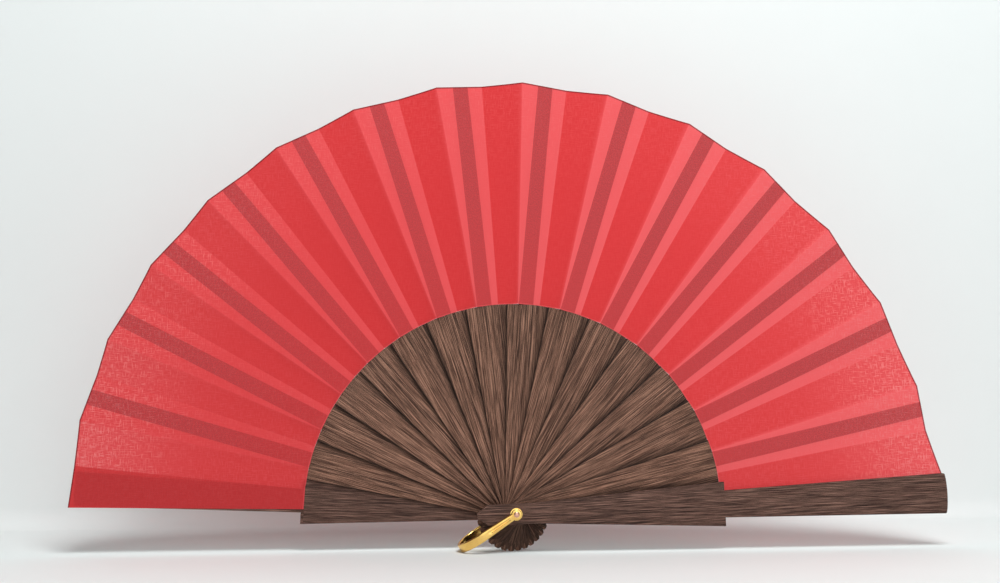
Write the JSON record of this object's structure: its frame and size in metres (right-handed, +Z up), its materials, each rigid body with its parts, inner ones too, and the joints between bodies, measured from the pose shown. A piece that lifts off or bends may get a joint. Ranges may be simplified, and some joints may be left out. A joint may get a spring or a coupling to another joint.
{
  "type": "folding hand fan",
  "caption": "Open folding hand fan: dark wooden guards and ribs on one rivet, a pleated red cotton leaf and a metal carry ring.",
  "frame": {"origin": "on the surface that the open fan stands on, below the middle of the fan", "axes": "+Z up along the middle of the open leaf, the pivot axis along Y, the front guard side at -Y, the back guard at -X and the front guard at +X"},
  "size_m": [0.4339, 0.0266, 0.2315],
  "materials": {
    "dark_wood": "dark stained hardwood with fine lengthwise grain, satin",
    "red_cotton": "thin plain-weave red cotton, slightly see-through",
    "gilded_metal": "polished gilded brass",
    "copper_rivet": "copper, lightly worn"
  },
  "bodies": {
    "back_guard_body": {"guard_back": "dark_wood", "leaf_glued_00": "red_cotton", "pivot_rivet": "copper_rivet", "washer_back": "gilded_metal", "washer_front": "gilded_metal"},
    "rib_body_01": {"rib_01": "dark_wood", "leaf_glued_01": "red_cotton", "leaf_free_01": "red_cotton"},
    "rib_body_02": {"rib_02": "dark_wood", "leaf_glued_02": "red_cotton", "leaf_free_02": "red_cotton"},
    "rib_body_03": {"rib_03": "dark_wood", "leaf_glued_03": "red_cotton", "leaf_free_03": "red_cotton"},
    "rib_body_04": {"rib_04": "dark_wood", "leaf_glued_04": "red_cotton", "leaf_free_04": "red_cotton"},
    "rib_body_05": {"rib_05": "dark_wood", "leaf_glued_05": "red_cotton", "leaf_free_05": "red_cotton"},
    "rib_body_06": {"rib_06": "dark_wood", "leaf_glued_06": "red_cotton", "leaf_free_06": "red_cotton"},
    "rib_body_07": {"rib_07": "dark_wood", "leaf_glued_07": "red_cotton", "leaf_free_07": "red_cotton"},
    "rib_body_08": {"rib_08": "dark_wood", "leaf_glued_08": "red_cotton", "leaf_free_08": "red_cotton"},
    "rib_body_09": {"rib_09": "dark_wood", "leaf_glued_09": "red_cotton", "leaf_free_09": "red_cotton"},
    "rib_body_10": {"rib_10": "dark_wood", "leaf_glued_10": "red_cotton", "leaf_free_10": "red_cotton"},
    "rib_body_11": {"rib_11": "dark_wood", "leaf_glued_11": "red_cotton", "leaf_free_11": "red_cotton"},
    "rib_body_12": {"rib_12": "dark_wood", "leaf_glued_12": "red_cotton", "leaf_free_12": "red_cotton"},
    "rib_body_13": {"rib_13": "dark_wood", "leaf_glued_13": "red_cotton", "leaf_free_13": "red_cotton"},
    "rib_body_14": {"rib_14": "dark_wood", "leaf_glued_14": "red_cotton", "leaf_free_14": "red_cotton"},
    "front_guard_body": {"guard_front": "dark_wood", "leaf_glued_15": "red_cotton", "leaf_free_15": "red_cotton"},
    "ring_body": {"carry_ring": "gilded_metal"}
  },
  "joints": [
    {"name": "fold_01", "type": "hinge", "parent": "back_guard_body", "child": "rib_body_01", "pos_m": [0, 0, 0.01875], "axis": [0, -1, 0], "range_deg": [0, 12.31], "deforming": ["leaf_free_01"]},
    {"name": "fold_02", "type": "hinge", "parent": "rib_body_01", "child": "rib_body_02", "pos_m": [0, 0, 0.01875], "axis": [0, -1, 0], "range_deg": [0, 10.95], "deforming": ["leaf_free_02"]},
    {"name": "fold_03", "type": "hinge", "parent": "rib_body_02", "child": "rib_body_03", "pos_m": [0, 0, 0.01875], "axis": [0, -1, 0], "range_deg": [0, 11.06], "deforming": ["leaf_free_03"]},
    {"name": "fold_04", "type": "hinge", "parent": "rib_body_03", "child": "rib_body_04", "pos_m": [0, 0, 0.01875], "axis": [0, -1, 0], "range_deg": [0, 11.17], "deforming": ["leaf_free_04"]},
    {"name": "fold_05", "type": "hinge", "parent": "rib_body_04", "child": "rib_body_05", "pos_m": [0, 0, 0.01875], "axis": [0, -1, 0], "range_deg": [0, 11.28], "deforming": ["leaf_free_05"]},
    {"name": "fold_06", "type": "hinge", "parent": "rib_body_05", "child": "rib_body_06", "pos_m": [0, 0, 0.01875], "axis": [0, -1, 0], "range_deg": [0, 11.39], "deforming": ["leaf_free_06"]},
    {"name": "fold_07", "type": "hinge", "parent": "rib_body_06", "child": "rib_body_07", "pos_m": [0, 0, 0.01875], "axis": [0, -1, 0], "range_deg": [0, 11.51], "deforming": ["leaf_free_07"]},
    {"name": "fold_08", "type": "hinge", "parent": "rib_body_07", "child": "rib_body_08", "pos_m": [0, 0, 0.01875], "axis": [0, -1, 0], "range_deg": [0, 11.62], "deforming": ["leaf_free_08"]},
    {"name": "fold_09", "type": "hinge", "parent": "rib_body_08", "child": "rib_body_09", "pos_m": [0, 0, 0.01875], "axis": [0, -1, 0], "range_deg": [0, 11.73], "deforming": ["leaf_free_09"]},
    {"name": "fold_10", "type": "hinge", "parent": "rib_body_09", "child": "rib_body_10", "pos_m": [0, 0, 0.01875], "axis": [0, -1, 0], "range_deg": [0, 11.84], "deforming": ["leaf_free_10"]},
    {"name": "fold_11", "type": "hinge", "parent": "rib_body_10", "child": "rib_body_11", "pos_m": [0, 0, 0.01875], "axis": [0, -1, 0], "range_deg": [0, 11.95], "deforming": ["leaf_free_11"]},
    {"name": "fold_12", "type": "hinge", "parent": "rib_body_11", "child": "rib_body_12", "pos_m": [0, 0, 0.01875], "axis": [0, -1, 0], "range_deg": [0, 12.06], "deforming": ["leaf_free_12"]},
    {"name": "fold_13", "type": "hinge", "parent": "rib_body_12", "child": "rib_body_13", "pos_m": [0, 0, 0.01875], "axis": [0, -1, 0], "range_deg": [0, 12.17], "deforming": ["leaf_free_13"]},
    {"name": "fold_14", "type": "hinge", "parent": "rib_body_13", "child": "rib_body_14", "pos_m": [0, 0, 0.01875], "axis": [0, -1, 0], "range_deg": [0, 12.28], "deforming": ["leaf_free_14"]},
    {"name": "fold_15", "type": "hinge", "parent": "rib_body_14", "child": "front_guard_body", "pos_m": [0, 0, 0.01875], "axis": [0, -1, 0], "range_deg": [0, 11.6], "deforming": ["leaf_free_15"]},
    {"name": "ring_swing", "type": "hinge", "parent": "back_guard_body", "child": "ring_body", "pos_m": [0, 0, 0.01875], "axis": [0, -1, 0], "range_deg": [-15, 116]}
  ],
  "couplings": [
    {"joint": "fold_01", "follows": "fold_15", "ratio": 1.0612},
    {"joint": "fold_02", "follows": "fold_15", "ratio": 0.94397},
    {"joint": "fold_03", "follows": "fold_15", "ratio": 0.95353},
    {"joint": "fold_04", "follows": "fold_15", "ratio": 0.9631},
    {"joint": "fold_05", "follows": "fold_15", "ratio": 0.97267},
    {"joint": "fold_06", "follows": "fold_15", "ratio": 0.98224},
    {"joint": "fold_07", "follows": "fold_15", "ratio": 0.99181},
    {"joint": "fold_08", "follows": "fold_15", "ratio": 1.0014},
    {"joint": "fold_09", "follows": "fold_15", "ratio": 1.0109},
    {"joint": "fold_10", "follows": "fold_15", "ratio": 1.0205},
    {"joint": "fold_11", "follows": "fold_15", "ratio": 1.0301},
    {"joint": "fold_12", "follows": "fold_15", "ratio": 1.0397},
    {"joint": "fold_13", "follows": "fold_15", "ratio": 1.0492},
    {"joint": "fold_14", "follows": "fold_15", "ratio": 1.0588}
  ]
}
